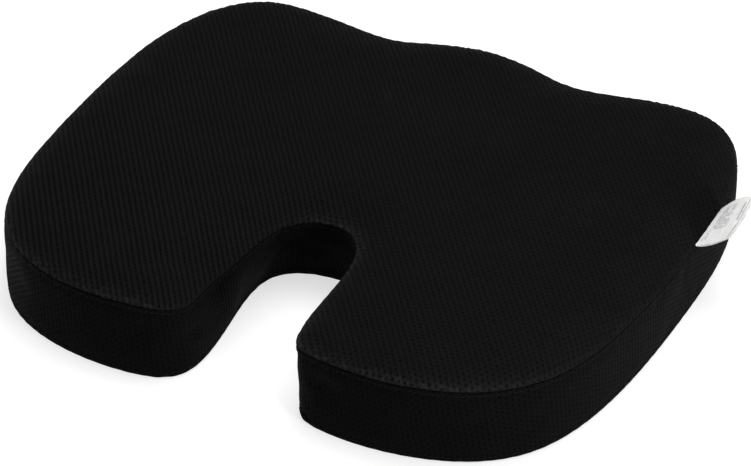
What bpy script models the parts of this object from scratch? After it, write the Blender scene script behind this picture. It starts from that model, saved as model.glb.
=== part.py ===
"""U-shaped seat cushion with a tailbone notch.

A moulded foam core in a slit liner, inside a boxed cover: top panel, side
band, two underside panels and a straight zip set in a shallow channel between
them. +Z is up and +Y is the wavy front edge, the notch opens to -Y, and the
origin is on the underside, on the line of symmetry. Lengths below are in
millimetres and become metres when a mesh is made.
"""

import math

import bmesh
import bpy
from mathutils import Vector

MM = 0.001

# ---- driving dimensions ------------------------------------------------------
# Right half of the control polygon of each outline, from the notch round to the
# front. The outline is the closed uniform cubic B-spline over the polygon and
# its mirror image: 450 mm wide and 403 mm deep.
FRONT_HALF = [(195, -169), (219, -92), (225, 10), (226, 122), (191, 194),
              (134, 197), (71, 180), (47, 193), (0, 206)]
BOTTOM_HALF = [(0, -42), (52, -56), (40, -131), (36, -189), (67, -203),
               (134, -200)] + FRONT_HALF
TOP_HALF = [(0, -51), (33, -69), (35, -132), (34, -192), (66, -201),
            (129, -203)] + FRONT_HALF
PER_SPAN = 4               # outline points for each control point

SEAM_HEIGHT = 50.5         # top seam's height above the origin
SEAM_FALL = 0.033          # it falls this much for each mm towards the front
CROWN = 6.0                # top surface above the seam
BULGE = 2.0                # side band's belly
GAP = 0.3                  # between neighbouring pieces

MESH_FABRIC = 3.0          # spacer mesh of the top panel and side band
BASE_FABRIC = 1.2          # underside fabric
LINER = 0.6                # thin knitted liner

ZIP_Y = 60.0               # zip's line, across the widest part
ZIP_HALF = 178.0           # half length of its tapes
ZIP_SLOT = 6.0             # half width of the slot the zip shows in
CHANNEL_RISE = 3.9         # how far the underside lifts at the slot
CHANNEL_TOP_HALF = 9.0
CHANNEL_BASE_HALF = 26.0
CHANNEL_FULL = 190.0       # the channel has its full depth to here
CHANNEL_END = 212.0        # and has run out here

TAPE_LOW, TAPE_HIGH = 5.4, 6.0
TAPE_INNER, TAPE_OUTER = 3.3, 18.0
COIL_LOW, COIL_HIGH = 4.8, 6.6
COIL_INNER, COIL_OUTER = 0.8, 3.0
COIL_HALF = 170.0
STOP_AT, STOP_LENGTH = 173.0, 4.0

SLIDER_X = -164.0          # slider's centre with the zip closed
SLIDER_HALF = 5.5
PULL_Z = 2.65              # pull tab's hinge axis
PULL_LENGTH = 24.0

THREAD_R = 0.45
ZIP_STITCH_Y = 7.6         # each row of stitching beside the slot
TOP_THREAD_DROP = 3.0      # below the top seam
BOTTOM_THREAD_Z = 4.0

LABEL_FROM, LABEL_TO = 33.0, 84.0   # along the right side
LABEL_OUT, LABEL_THICK = 24.5, 0.5
LABEL_RISE_NEAR, LABEL_RISE_FAR = 10.0, 12.6   # free edge above the seam, at each end


# ---- scene and materials -------------------------------------------------------
def clear_scene():
    for obj in list(bpy.data.objects):
        bpy.data.objects.remove(obj, do_unlink=True)


def material(name, colour, roughness, metallic=0.0):
    mat = bpy.data.materials.new(name)
    mat.use_nodes = True
    shader = mat.node_tree.nodes["Principled BSDF"]
    shader.inputs["Base Color"].default_value = (*colour, 1.0)
    shader.inputs["Roughness"].default_value = roughness
    shader.inputs["Metallic"].default_value = metallic
    mat.diffuse_color = (*colour, 1.0)
    return mat


def new_object(name, bm, mat=None, origin=(0.0, 0.0, 0.0), sharp_deg=35.0):
    """An object from a bmesh in millimetres, with its origin at the given point."""
    bmesh.ops.recalc_face_normals(bm, faces=bm.faces)
    shift = Vector(origin)
    for v in bm.verts:
        v.co = (v.co - shift) * MM
    mesh = bpy.data.meshes.new(name)
    bm.to_mesh(mesh)
    bm.free()
    mesh.shade_smooth()
    mesh.set_sharp_from_angle(angle=math.radians(sharp_deg))
    obj = bpy.data.objects.new(name, mesh)
    obj.location = shift * MM
    bpy.context.scene.collection.objects.link(obj)
    if mat:
        mesh.materials.append(mat)
    return obj


def helper(obj):
    """A cutter or a filler: it shapes another object and isn't a piece."""
    obj.hide_render = True
    obj.display_type = "WIRE"
    return obj


def boolean(obj, operation, other):
    mod = obj.modifiers.new(f"{operation.lower()}_{other.name}", "BOOLEAN")
    mod.operation = operation
    mod.solver = "EXACT"
    mod.object = other


# ---- outlines --------------------------------------------------------------------
def closed_spline(half):
    """Closed uniform cubic B-spline over a half polygon and its mirror image."""
    poly = half + [(-x, y) for x, y in half[-2:0:-1]]
    n = len(poly)
    points = []
    for i in range(n):
        for k in range(PER_SPAN):
            t = k / PER_SPAN
            w = ((1 - t) ** 3 / 6, (3 * t ** 3 - 6 * t * t + 4) / 6,
                 (-3 * t ** 3 + 3 * t * t + 3 * t + 1) / 6, t ** 3 / 6)
            points.append(tuple(
                sum(w[j] * poly[(i - 1 + j) % n][axis] for j in range(4))
                for axis in range(2)))
    return points


OUT_BOTTOM = closed_spline(BOTTOM_HALF)
OUT_TOP = closed_spline(TOP_HALF)


def normals(points):
    """Outward unit normals of a counter-clockwise outline."""
    n = len(points)
    found = []
    for i in range(n):
        (x0, y0), (x1, y1) = points[i - 1], points[(i + 1) % n]
        length = math.hypot(x1 - x0, y1 - y0)
        found.append(((y1 - y0) / length, (x0 - x1) / length))
    return found


NORM_BOTTOM = normals(OUT_BOTTOM)
NORM_TOP = normals(OUT_TOP)


def seam_z(y):
    return SEAM_HEIGHT - SEAM_FALL * y


def side_point(i, f, inset):
    """Point i of the outline a fraction f of the way from base to top seam, moved in."""
    bulge = BULGE * 4 * f * (1 - f)
    xy = []
    for axis in range(2):
        low = OUT_BOTTOM[i][axis] + (bulge - inset) * NORM_BOTTOM[i][axis]
        high = OUT_TOP[i][axis] + (bulge - inset) * NORM_TOP[i][axis]
        xy.append(low + f * (high - low))
    return xy


def ring_at_height(inset, z):
    """A level ring on the side at height z."""
    ring = []
    for i in range(len(OUT_TOP)):
        f = min(1.0, max(0.0, z / seam_z(OUT_TOP[i][1])))
        x, y = side_point(i, f, inset)
        ring.append((x, y, z))
    return ring


def ring_at_fraction(inset, f, low_z, below_seam):
    """A ring part of the way from height low_z to just below the top seam."""
    ring = []
    for i in range(len(OUT_TOP)):
        high_z = seam_z(OUT_TOP[i][1]) - below_seam
        z = low_z + f * (high_z - low_z)
        x, y = side_point(i, z / seam_z(OUT_TOP[i][1]), inset)
        ring.append((x, y, z))
    return ring


def ring_on_top(inset, above_seam):
    """A ring that follows the slope of the top, moved in from the seam."""
    ring = []
    for i in range(len(OUT_TOP)):
        x, y = side_point(i, 1.0, inset)
        ring.append((x, y, seam_z(y) + above_seam))
    return ring


def ring_flat(inset, z):
    return [(*side_point(i, 0.0, inset), z) for i in range(len(OUT_BOTTOM))]


def loft(rings, capped=True):
    """A solid through rings in order: capped at both ends, or closed on itself."""
    bm = bmesh.new()
    rows = [[bm.verts.new(p) for p in ring] for ring in rings]
    pairs = list(zip(rows, rows[1:]))
    if not capped:
        pairs.append((rows[-1], rows[0]))
    n = len(rows[0])
    for low, high in pairs:
        for i in range(n):
            j = (i + 1) % n
            bm.faces.new((low[i], low[j], high[j], high[i]))
    if capped:
        bm.faces.new(rows[0][::-1])
        bm.faces.new(rows[-1])
    return bm


# ---- plain shapes -----------------------------------------------------------------
def block(low, high):
    bm = bmesh.new()
    bmesh.ops.create_cube(bm, size=1.0)
    for v in bm.verts:
        v.co = Vector([low[a] if v.co[a] < 0 else high[a] for a in range(3)])
    return bm


def extruded(profile, low_x, high_x):
    """A (y, z) profile extruded along X."""
    bm = bmesh.new()
    ends = [[bm.verts.new((x, y, z)) for y, z in profile] for x in (low_x, high_x)]
    n = len(profile)
    for i in range(n):
        j = (i + 1) % n
        bm.faces.new((ends[0][i], ends[0][j], ends[1][j], ends[1][i]))
    bm.faces.new(ends[0][::-1])
    bm.faces.new(ends[1])
    return bm


def plate(outline, low_z, high_z):
    """An (x, y) outline extruded along Z."""
    bm = bmesh.new()
    ends = [[bm.verts.new((x, y, z)) for x, y in outline] for z in (low_z, high_z)]
    n = len(outline)
    for i in range(n):
        j = (i + 1) % n
        bm.faces.new((ends[0][i], ends[0][j], ends[1][j], ends[1][i]))
    bm.faces.new(ends[0][::-1])
    bm.faces.new(ends[1])
    return bm


def channel_ridge(floor_z, foot_z, top_z, foot_half, top_half, full_x, end_x):
    """A long ridge over the zip's line, whose top runs down to foot_z at its ends."""
    bm = bmesh.new()
    rows = []
    for x, rise in ((-end_x, 0.0), (-full_x, 1.0), (full_x, 1.0), (end_x, 0.0)):
        top = foot_z + 0.05 + rise * (top_z - foot_z - 0.05)
        profile = ((-foot_half, floor_z), (foot_half, floor_z), (foot_half, foot_z),
                   (top_half, top), (-top_half, top), (-foot_half, foot_z))
        rows.append([bm.verts.new((x, ZIP_Y + y, z)) for y, z in profile])
    for low, high in zip(rows, rows[1:]):
        for i in range(6):
            j = (i + 1) % 6
            bm.faces.new((low[i], low[j], high[j], high[i]))
    bm.faces.new(rows[0][::-1])
    bm.faces.new(rows[-1])
    return bm


# ---- pieces ---------------------------------------------------------------------
def body_rings(depth, base_z):
    """Rings of a solid that lies this deep under the cover's outer surface."""
    over = depth - MESH_FABRIC
    return [
        ring_flat(depth + 2.8, base_z),
        ring_at_height(depth, base_z + 2.8),
        ring_at_fraction(depth, 0.35, base_z + 2.8, depth),
        ring_at_fraction(depth, 0.70, base_z + 2.8, depth),
        ring_at_fraction(depth, 1.0, base_z + 2.8, depth),
        ring_on_top(depth + 1.6, -0.3 - over),
        ring_on_top(depth + 5.2, 0.9 - over),
        ring_on_top(depth + 10.0, CROWN - MESH_FABRIC - over),
    ]


def make_foam(mat):
    """Moulded foam, relieved over the zip where it is pressed back by it."""
    depth = MESH_FABRIC + GAP + LINER + GAP
    base = BASE_FABRIC + GAP + LINER + GAP
    foam = new_object("foam_core", loft(body_rings(depth, base)), mat)
    relief = helper(new_object("relief_foam", channel_ridge(
        0.0, base + 0.1, 9.3, 35.6, 9.2, CHANNEL_FULL + 4, CHANNEL_END + 2)))
    boolean(foam, "DIFFERENCE", relief)
    return foam


def make_liner(mat):
    """A thin bag round the foam, with the slit that the foam goes in through."""
    depth, base = MESH_FABRIC + GAP, BASE_FABRIC + GAP
    liner = new_object("foam_liner", loft(body_rings(depth, base)), mat)
    hollow = helper(new_object(
        "liner_hollow", loft(body_rings(depth + LINER, base + LINER))))
    inner_relief = helper(new_object("relief_hollow", channel_ridge(
        0.0, base + LINER + 0.05, 9.0, 35.0, 8.8, CHANNEL_FULL + 3, CHANNEL_END + 1.5)))
    outer_relief = helper(new_object("relief_liner", channel_ridge(
        0.0, base + 0.1, 8.4, 34.0, 8.2, CHANNEL_FULL + 2, CHANNEL_END + 1)))
    slit = helper(new_object(
        "liner_slit", block((-140, ZIP_Y - 1.0, 7.0), (140, ZIP_Y + 1.0, 10.0))))
    boolean(hollow, "DIFFERENCE", inner_relief)
    boolean(liner, "DIFFERENCE", outer_relief)
    boolean(liner, "DIFFERENCE", hollow)
    boolean(liner, "DIFFERENCE", slit)
    return liner


def make_top_panel(mat):
    rings = [
        ring_on_top(13.6, CROWN - MESH_FABRIC),
        ring_on_top(7.2, 1.5),
        ring_on_top(3.8, 0.2),
        ring_on_top(0.0, 0.2),
        ring_on_top(1.2, 2.0),
        ring_on_top(5.0, 4.4),
        ring_on_top(12.0, CROWN),
    ]
    return new_object("cover_top_panel", loft(rings), mat)


def make_side_band(mat):
    low, below = BASE_FABRIC + GAP, 0.1
    steps = (0.0, 0.2, 0.4, 0.6, 0.8, 1.0)
    outer = [ring_at_fraction(0.0, f, low, below) for f in steps]
    inner = [ring_at_fraction(MESH_FABRIC, f, low, below) for f in reversed(steps)]
    return new_object("cover_side_band", loft(outer + inner, capped=False), mat)


def make_base_panel(name, side, mat):
    """Front (side 1) or rear (side -1) underside panel, lifted along the zip."""
    rings = [ring_flat(0.8, 0.0), ring_flat(0.8, BASE_FABRIC)]
    panel = new_object(name, loft(rings), mat)
    lift = helper(new_object(f"{name}_lift", channel_ridge(
        0.5, BASE_FABRIC - 0.1, BASE_FABRIC + CHANNEL_RISE, CHANNEL_BASE_HALF + 0.4,
        CHANNEL_TOP_HALF, CHANNEL_FULL, CHANNEL_END)))
    under = helper(new_object(f"{name}_under", channel_ridge(
        -2.0, -0.1, CHANNEL_RISE, CHANNEL_BASE_HALF + 0.4,
        CHANNEL_TOP_HALF, CHANNEL_FULL, CHANNEL_END)))
    slot = helper(new_object(f"{name}_slot", block(
        (-ZIP_HALF - 2, ZIP_Y - ZIP_SLOT, -3), (ZIP_HALF + 2, ZIP_Y + ZIP_SLOT, 9))))
    near, far = ZIP_Y + side * GAP / 2, ZIP_Y - side * 400
    other = helper(new_object(f"{name}_other", block(
        (-300, min(near, far), -4), (300, max(near, far), 10))))
    boolean(panel, "UNION", lift)
    boolean(panel, "DIFFERENCE", under)
    boolean(panel, "DIFFERENCE", slot)
    boolean(panel, "DIFFERENCE", other)
    return panel


def make_tape(name, side, mat):
    slope = CHANNEL_RISE / (CHANNEL_BASE_HALF - CHANNEL_TOP_HALF)
    bend = CHANNEL_TOP_HALF - 0.4
    drop = slope * (TAPE_OUTER - CHANNEL_TOP_HALF)
    profile = [(TAPE_INNER, TAPE_LOW), (bend, TAPE_LOW), (TAPE_OUTER, TAPE_LOW - drop),
               (TAPE_OUTER, TAPE_HIGH - drop), (bend + 0.4, TAPE_HIGH),
               (TAPE_INNER, TAPE_HIGH)]
    profile = [(ZIP_Y + side * y, z) for y, z in profile]
    return new_object(name, extruded(profile, -ZIP_HALF, ZIP_HALF), mat)


def make_coil(name, side, mat):
    """One side's row of coil, with rounded corners."""
    cut = 0.45
    y0, y1, z0, z1 = COIL_INNER, COIL_OUTER, COIL_LOW, COIL_HIGH
    profile = [(y0, z0), (y1 - cut, z0), (y1, z0 + cut), (y1, z1 - cut),
               (y1 - cut, z1), (y0, z1)]
    profile = [(ZIP_Y + side * y, z) for y, z in profile]
    return new_object(name, extruded(profile, -COIL_HALF, COIL_HALF), mat)


def make_stop(name, x, mat):
    """A clip round both rows, which the slider runs up against."""
    bm = block((x - STOP_LENGTH / 2, ZIP_Y - COIL_OUTER, COIL_LOW - 0.3),
               (x + STOP_LENGTH / 2, ZIP_Y + COIL_OUTER, COIL_HIGH + 0.3))
    stop = new_object(name, bm, mat)
    bevel = stop.modifiers.new("edges", "BEVEL")
    bevel.width = 0.5 * MM
    bevel.segments = 2
    return stop


def slider_outline():
    """Shoulders and two throats at -X, narrow where the closed coil leaves at +X."""
    half = [(SLIDER_HALF, 3.4), (SLIDER_HALF - 0.9, 4.2), (-0.5, 4.3),
            (1.8 - SLIDER_HALF, 4.7), (0.5 - SLIDER_HALF, 4.2), (-SLIDER_HALF, 3.0)]
    return half + [(x, -y) for x, y in reversed(half)]


def make_slider(mat):
    """Two plates on a central post, flanged round the coil, with an arch for the pull."""
    at = (SLIDER_X, ZIP_Y, PULL_Z)

    def placed(bm):
        for v in bm.verts:
            v.co += Vector((SLIDER_X, ZIP_Y, 0.0))
        return bm

    outline = slider_outline()
    slider = new_object("zipper_slider", placed(plate(outline, 3.6, 4.5)), mat, at)
    pieces = [plate(outline, COIL_HIGH + GAP, 7.8),
              block((0.6 - SLIDER_HALF, -0.5, 4.2), (1.5, 0.5, 7.2))]
    for side in (-1, 1):
        low, high = sorted((side * 3.3, side * 4.15))
        pieces.append(block((-4.4, low, 4.2), (4.6, high, 5.1)))
        pieces.append(block((-4.4, low, 6.3), (4.6, high, 7.2)))
    arch = [(-4.2, 3.9), (-3.7, 1.4), (-2.9, 0.7), (2.9, 0.7), (3.7, 1.4), (4.2, 3.9),
            (2.9, 3.9), (2.7, 1.7), (-2.7, 1.7), (-2.9, 3.9)]
    bm = bmesh.new()
    ends = [[bm.verts.new((x, y, z)) for x, z in arch] for y in (-1.2, 1.2)]
    for i in range(len(arch)):
        j = (i + 1) % len(arch)
        bm.faces.new((ends[0][i], ends[0][j], ends[1][j], ends[1][i]))
    bm.faces.new(ends[0][::-1])
    bm.faces.new(ends[1])
    pieces.append(bm)
    for k, bm in enumerate(pieces):
        boolean(slider, "UNION", helper(new_object(f"slider_part_{k}", placed(bm))))
    return slider


def make_pull(mat):
    """A flat tab with a window whose end bar sits in the slider's arch."""
    half = 0.6                         # the bar's corners must turn inside the arch
    outer = [(-half, -3.0), (5.0, -3.2), (PULL_LENGTH - 3.0, -3.9),
             (PULL_LENGTH - 0.8, -3.1), (PULL_LENGTH, -1.2)]
    outer += [(x, -y) for x, y in reversed(outer)]
    window = [(half, -1.7), (5.2, -1.9), (5.2, 1.9), (half, 1.7)]
    at = (SLIDER_X, ZIP_Y, PULL_Z)

    def placed(points):
        return [(SLIDER_X + x, ZIP_Y + y) for x, y in points]

    pull = new_object("zipper_pull", plate(placed(outer), PULL_Z - half, PULL_Z + half),
                      mat, at)
    hole = helper(new_object(
        "pull_window", plate(placed(window), PULL_Z - 2, PULL_Z + 2)))
    boolean(pull, "DIFFERENCE", hole)
    return pull


def make_thread(name, ring_of, mat):
    """A line of stitching: a thin tube that runs right round on the band."""
    sides = 6
    path = ring_of
    norm = normals([(x, y) for x, y, _ in path])
    rings = []
    for k in range(sides):
        a = 2 * math.pi * k / sides
        rings.append([
            (x + nx * THREAD_R * math.cos(a), y + ny * THREAD_R * math.cos(a),
             z + THREAD_R * math.sin(a))
            for (x, y, z), (nx, ny) in zip(path, norm)])
    return new_object(name, loft(rings, capped=False), mat)


def make_zip_stitch(name, side, mat):
    """The straight row that holds a tape to its panel, seen on the underside."""
    r, z = THREAD_R * 0.8, CHANNEL_RISE - GAP - THREAD_R * 0.8
    profile = []
    for k in range(6):
        a = 2 * math.pi * k / 6
        profile.append((ZIP_Y + side * ZIP_STITCH_Y + r * math.cos(a), z + r * math.sin(a)))
    return new_object(name, extruded(profile, -ZIP_HALF, ZIP_HALF), mat)


def make_label(mat):
    """A folded care label caught in the right side's top seam, curling up."""
    across, along = 8, 6
    bm = bmesh.new()
    sheets = []
    for lift in (0.0, LABEL_THICK):
        rows = []
        for a in range(across + 1):
            s = a / across
            row = []
            for b in range(along + 1):
                t = b / along
                y = LABEL_FROM + (LABEL_TO - LABEL_FROM) * t
                x = 225.6 + LABEL_OUT * s
                near, far = LABEL_RISE_NEAR * s * s, LABEL_RISE_FAR * math.sin(1.5 * s)
                z = seam_z(y) - 0.1 + near + (far - near) * t * t + lift
                row.append(bm.verts.new((x, y, z)))
            rows.append(row)
        sheets.append(rows)
    for rows, flip in ((sheets[0], True), (sheets[1], False)):
        for a in range(across):
            for b in range(along):
                quad = (rows[a][b], rows[a + 1][b], rows[a + 1][b + 1], rows[a][b + 1])
                bm.faces.new(quad[::-1] if flip else quad)
    edge = ([(a, 0) for a in range(across)] + [(across, b) for b in range(along)]
            + [(a, along) for a in range(across, 0, -1)]
            + [(0, b) for b in range(along, 0, -1)])
    for (a, b), (c, d) in zip(edge, edge[1:] + edge[:1]):
        bm.faces.new((sheets[0][a][b], sheets[0][c][d], sheets[1][c][d], sheets[1][a][b]))
    return new_object("care_label", bm, mat)


def main():
    clear_scene()
    mesh_cloth = material("mesh_cloth", (0.008, 0.008, 0.009), 0.85)
    base_cloth = material("base_cloth", (0.012, 0.012, 0.013), 0.9)
    foam = material("foam", (0.78, 0.75, 0.66), 0.9)
    liner = material("liner_knit", (0.05, 0.05, 0.055), 0.9)
    nylon = material("zip_nylon", (0.01, 0.01, 0.011), 0.45)
    metal = material("zip_metal", (0.05, 0.05, 0.055), 0.35, 1.0)
    thread = material("thread", (0.06, 0.06, 0.065), 0.6)
    satin = material("label_satin", (0.86, 0.86, 0.85), 0.5)

    make_foam(foam)
    make_liner(liner)
    make_top_panel(mesh_cloth)
    make_side_band(mesh_cloth)
    make_base_panel("cover_base_front", 1, base_cloth)
    make_base_panel("cover_base_rear", -1, base_cloth)
    make_tape("zipper_tape_front", 1, nylon)
    make_tape("zipper_tape_rear", -1, nylon)
    make_coil("zipper_coil_front", 1, nylon)
    make_coil("zipper_coil_rear", -1, nylon)
    make_stop("zipper_stop_left", -STOP_AT, metal)
    make_stop("zipper_stop_right", STOP_AT, metal)
    slider = make_slider(metal)
    pull = make_pull(metal)
    pull.parent = slider               # both origins are on the pull's hinge axis
    pull.location = (0.0, 0.0, 0.0)

    out = THREAD_R + GAP
    top = []
    for i in range(len(OUT_TOP)):
        z = seam_z(OUT_TOP[i][1]) - TOP_THREAD_DROP
        top.append((*side_point(i, z / seam_z(OUT_TOP[i][1]), -out), z))
    make_thread("top_seam_thread", top, thread)
    make_thread("base_seam_thread", ring_at_height(-out, BOTTOM_THREAD_Z), thread)
    make_zip_stitch("zip_stitch_front", 1, thread)
    make_zip_stitch("zip_stitch_rear", -1, thread)
    make_label(satin)


main()
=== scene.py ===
"""Looks of the U-shaped seat cushion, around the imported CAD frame.

Everything is worked out in millimetres in the frame's own axes and becomes
metres when a mesh is made. The cover is laid out as cut pieces of spacer mesh:
each has its own lattice of knitted holes, is rolled over at its seams, and
follows a cloth simulation of the stuffed cover.
"""
import math

import bmesh
import bpy
import numpy as np
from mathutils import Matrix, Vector, geometry
from mathutils.bvhtree import BVHTree


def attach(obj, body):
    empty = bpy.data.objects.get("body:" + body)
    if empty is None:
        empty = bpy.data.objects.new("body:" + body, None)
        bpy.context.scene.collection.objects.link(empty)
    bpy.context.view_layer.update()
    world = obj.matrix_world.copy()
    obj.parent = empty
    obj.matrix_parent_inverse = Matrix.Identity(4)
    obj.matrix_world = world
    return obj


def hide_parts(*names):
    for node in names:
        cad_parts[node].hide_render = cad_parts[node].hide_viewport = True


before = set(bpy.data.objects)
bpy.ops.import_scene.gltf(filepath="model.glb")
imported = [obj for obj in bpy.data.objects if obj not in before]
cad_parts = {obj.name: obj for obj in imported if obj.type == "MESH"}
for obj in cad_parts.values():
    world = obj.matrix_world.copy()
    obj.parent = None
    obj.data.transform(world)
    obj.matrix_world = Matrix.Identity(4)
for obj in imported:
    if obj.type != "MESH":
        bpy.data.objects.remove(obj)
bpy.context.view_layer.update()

MM = 0.001
PITCH = 4.2                     # from hole to hole in the spacer mesh
TOP_TURN, BAND_TURN = math.radians(34.8), math.radians(8.0)    # how its ribs lie on each piece
LATTICE = PITCH / math.sqrt(3)  # every third lattice point is a hole
SEAM_HEIGHT, SEAM_FALL = 50.5, 0.033
BULGE = 0.2
rng = np.random.default_rng(7)

FRONT_HALF = [(195, -169), (219, -92), (225, 10), (226, 122), (191, 194),
              (134, 197), (71, 180), (47, 193), (0, 206)]
BOTTOM_HALF = [(0, -42), (52, -56), (40, -131), (36, -189), (67, -203),
               (134, -200)] + FRONT_HALF
TOP_HALF = [(0, -51), (33, -69), (35, -132), (34, -192), (66, -201),
            (129, -203)] + FRONT_HALF


# ---- outline ----------------------------------------------------------------
def closed_spline(half, per=40):
    poly = np.array(half + [(-x, y) for x, y in half[-2:0:-1]], float)
    t = np.arange(per) / per
    w = np.stack([(1 - t) ** 3 / 6, (3 * t ** 3 - 6 * t * t + 4) / 6,
                  (-3 * t ** 3 + 3 * t * t + 3 * t + 1) / 6, t ** 3 / 6])
    rolled = np.stack([np.roll(poly, 1 - j, axis=0) for j in range(4)])
    return np.einsum("jk,jnc->nkc", w, rolled).reshape(-1, 2)


def unit_normals(p):
    d = np.roll(p, -1, 0) - np.roll(p, 1, 0)
    n = np.stack([d[:, 1], -d[:, 0]], 1)
    return n / np.linalg.norm(n, axis=1, keepdims=True)


BOT, TOP = closed_spline(BOTTOM_HALF), closed_spline(TOP_HALF)
# The band's ends are joined on the left side, so the outline starts there.
START = int(np.argmin(np.hypot(TOP[:, 0] + 226, TOP[:, 1] - 30)))
BOT, TOP = np.roll(BOT, -START, 0), np.roll(TOP, -START, 0)
# The cover's slack corner on the left lobe: the top seam lies further in than its twin on the right.
_gap = np.hypot(TOP[:, 0] + 37.5, TOP[:, 1] + 157)
TOP = TOP - unit_normals(TOP) * (5.0 * np.exp(-(_gap / 31.0) ** 2))[:, None]
NB, NT = unit_normals(BOT), unit_normals(TOP)
MID = (BOT + TOP) / 2
STEP = np.linalg.norm(np.roll(MID, -1, 0) - MID, axis=1)
ARC = np.concatenate([[0], np.cumsum(STEP)])
LENGTH = ARC[-1]
# signed curvature of the top outline, positive on the outside of a bend
_a = np.arctan2(NT[:, 1], NT[:, 0])
CURVE = (np.angle(np.exp(1j * (np.roll(_a, -6) - np.roll(_a, 6)))) /
         (np.roll(ARC[:-1], -6) - np.roll(ARC[:-1], 6) + 1e-9 +
          np.where((np.roll(ARC[:-1], -6) - np.roll(ARC[:-1], 6)) < 0, LENGTH, 0)))


def along(table, s):
    """A value of the outline's table at arc length s, which runs round."""
    s = np.mod(np.asarray(s, float), LENGTH)
    closed = np.concatenate([table, table[:1]])
    if closed.ndim == 1:
        return np.interp(s, ARC, closed)
    return np.stack([np.interp(s, ARC, closed[:, k]) for k in range(closed.shape[1])], -1)


def seam_z(y):
    return SEAM_HEIGHT - SEAM_FALL * y


def wave(s, *terms):
    """A sum of waves round the outline: (waves round, size, phase) each."""
    a = 2 * np.pi * np.asarray(s, float) / LENGTH
    return sum(size * np.sin(n * a + phase) for n, size, phase in terms)


def seam_wander(s):
    return wave(s, (17, 0.22, 0.4), (29, 0.16, 1.9), (47, 0.10, 4.0), (9, 0.25, 2.2))


def nearest_s(x, y):
    """Arc length of the top outline's point nearest to this one."""
    return ARC[int(np.argmin(np.hypot(TOP[:, 0] - x, TOP[:, 1] - y)))]


def bump_at(s, middle, half):
    """A smooth rise to 1 round one place on the outline."""
    away = np.mod(np.asarray(s, float) - middle + LENGTH / 2, LENGTH) - LENGTH / 2
    return np.exp(-(away / half) ** 2)


CORNER = nearest_s(41.5, -191)       # the right lobe's corner by the notch, where the seam is pushed out
SOFT = nearest_s(-36, -162)        # the left lobe's, where the seam is slack and rounded over


def shove(s):
    return 2.3 * bump_at(s, CORNER, 11.0)


def foot(s):
    """How far the wall under that corner stands out."""
    return 2.4 * bump_at(s, CORNER, 15.0)


def slack(s):
    return np.clip(1.25 * bump_at(s, SOFT, 42.0), 0, 1)


def rim_highlight(s):
    """Painted highlight on the top's rim, standing in for light caught by the rolled edge: most where it faces the
    front or the notch's far side.
    """
    n = along(NT, s)
    faced = np.clip(0.4 - 0.75 * n[..., 1] - 0.65 * n[..., 0], 0.05, 1.1)
    return (faced + 1.3 * bump_at(s, CORNER - 26, 24.0)) * (1 - slack(s))


def dip(s):
    """How far the slack stretch of the seam has sunk."""
    return 3.2 * slack(s)


def side_xy(s, z, inset):
    """Points of the side at arc length s and height z, moved in."""
    top = along(TOP, s)
    f = np.clip(z / seam_z(top[..., 1]), 0, 1.02)[..., None]
    out = (BULGE * 4 * f * (1 - f)) - np.asarray(inset, float)[..., None]
    low = along(BOT, s) + out * along(NB, s)
    high = top + out * along(NT, s)
    return low + f * (high - low)


def crown(i):
    """Height of the top above the seam, at a distance i in from it."""
    i = np.maximum(i, 0)
    return 3.9 * (1 - np.exp(-i / 4.6)) + 0.9 * (1 - np.exp(-i / 12)) + 1.1 * (1 - np.exp(-i / 48))


def nearest_on_outline(points, table=TOP):
    """(distance in from the outline, arc length of the nearest point) of each point."""
    found_d, found_s = [], []
    for part in np.array_split(points, max(1, len(points) // 2000)):
        gap = ((part[:, None] - table[None]) ** 2).sum(-1)
        k = gap.argmin(1)
        away = part - table[k]
        n = unit_normals(table)[k]
        found_d.append(np.sqrt(gap[np.arange(len(part)), k]) * np.where((away * n).sum(1) > 0, -1, 1))
        found_s.append(ARC[:-1][k])
    return np.concatenate(found_d), np.concatenate(found_s)


# ---- meshes -------------------------------------------------------------------
def make(name, verts, faces, body="cushion", mat=None, attributes=None, smooth=True):
    """A mesh object from points in millimetres, riding on a body."""
    mesh = bpy.data.meshes.new(name)
    mesh.from_pydata((np.asarray(verts, float) * MM).tolist(), [], [tuple(f) for f in faces])
    mesh.update()
    for key, values in (attributes or {}).items():
        layer = mesh.attributes.new(key, "FLOAT", "POINT")
        layer.data.foreach_set("value", np.asarray(values, np.float32))
    if smooth:
        mesh.shade_smooth()
    obj = bpy.data.objects.new(name, mesh)
    bpy.context.scene.collection.objects.link(obj)
    if mat:
        mesh.materials.append(mat)
    if body:
        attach(obj, body)
    return obj


def outward(obj):
    """Turns a closed mesh's faces outwards."""
    bm = bmesh.new()
    bm.from_mesh(obj.data)
    bmesh.ops.recalc_face_normals(bm, faces=bm.faces)
    bm.to_mesh(obj.data)
    bm.free()
    obj.data.update()
    return obj


def within(p, loop):
    """Whether each point lies inside the closed loop."""
    a, b = loop, np.roll(loop, -1, 0)
    inside = np.zeros(len(p), bool)
    for part in np.array_split(np.arange(len(p)), max(1, len(p) // 400)):
        x, y = p[part, 0:1], p[part, 1:2]
        cross = (a[:, 1] > y) != (b[:, 1] > y)
        at = a[:, 0] + (y - a[:, 1]) / np.where(cross, b[:, 1] - a[:, 1], 1) * (b[:, 0] - a[:, 0])
        inside[part] = (cross & (x < at)).sum(1) % 2 == 1
    return inside


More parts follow.
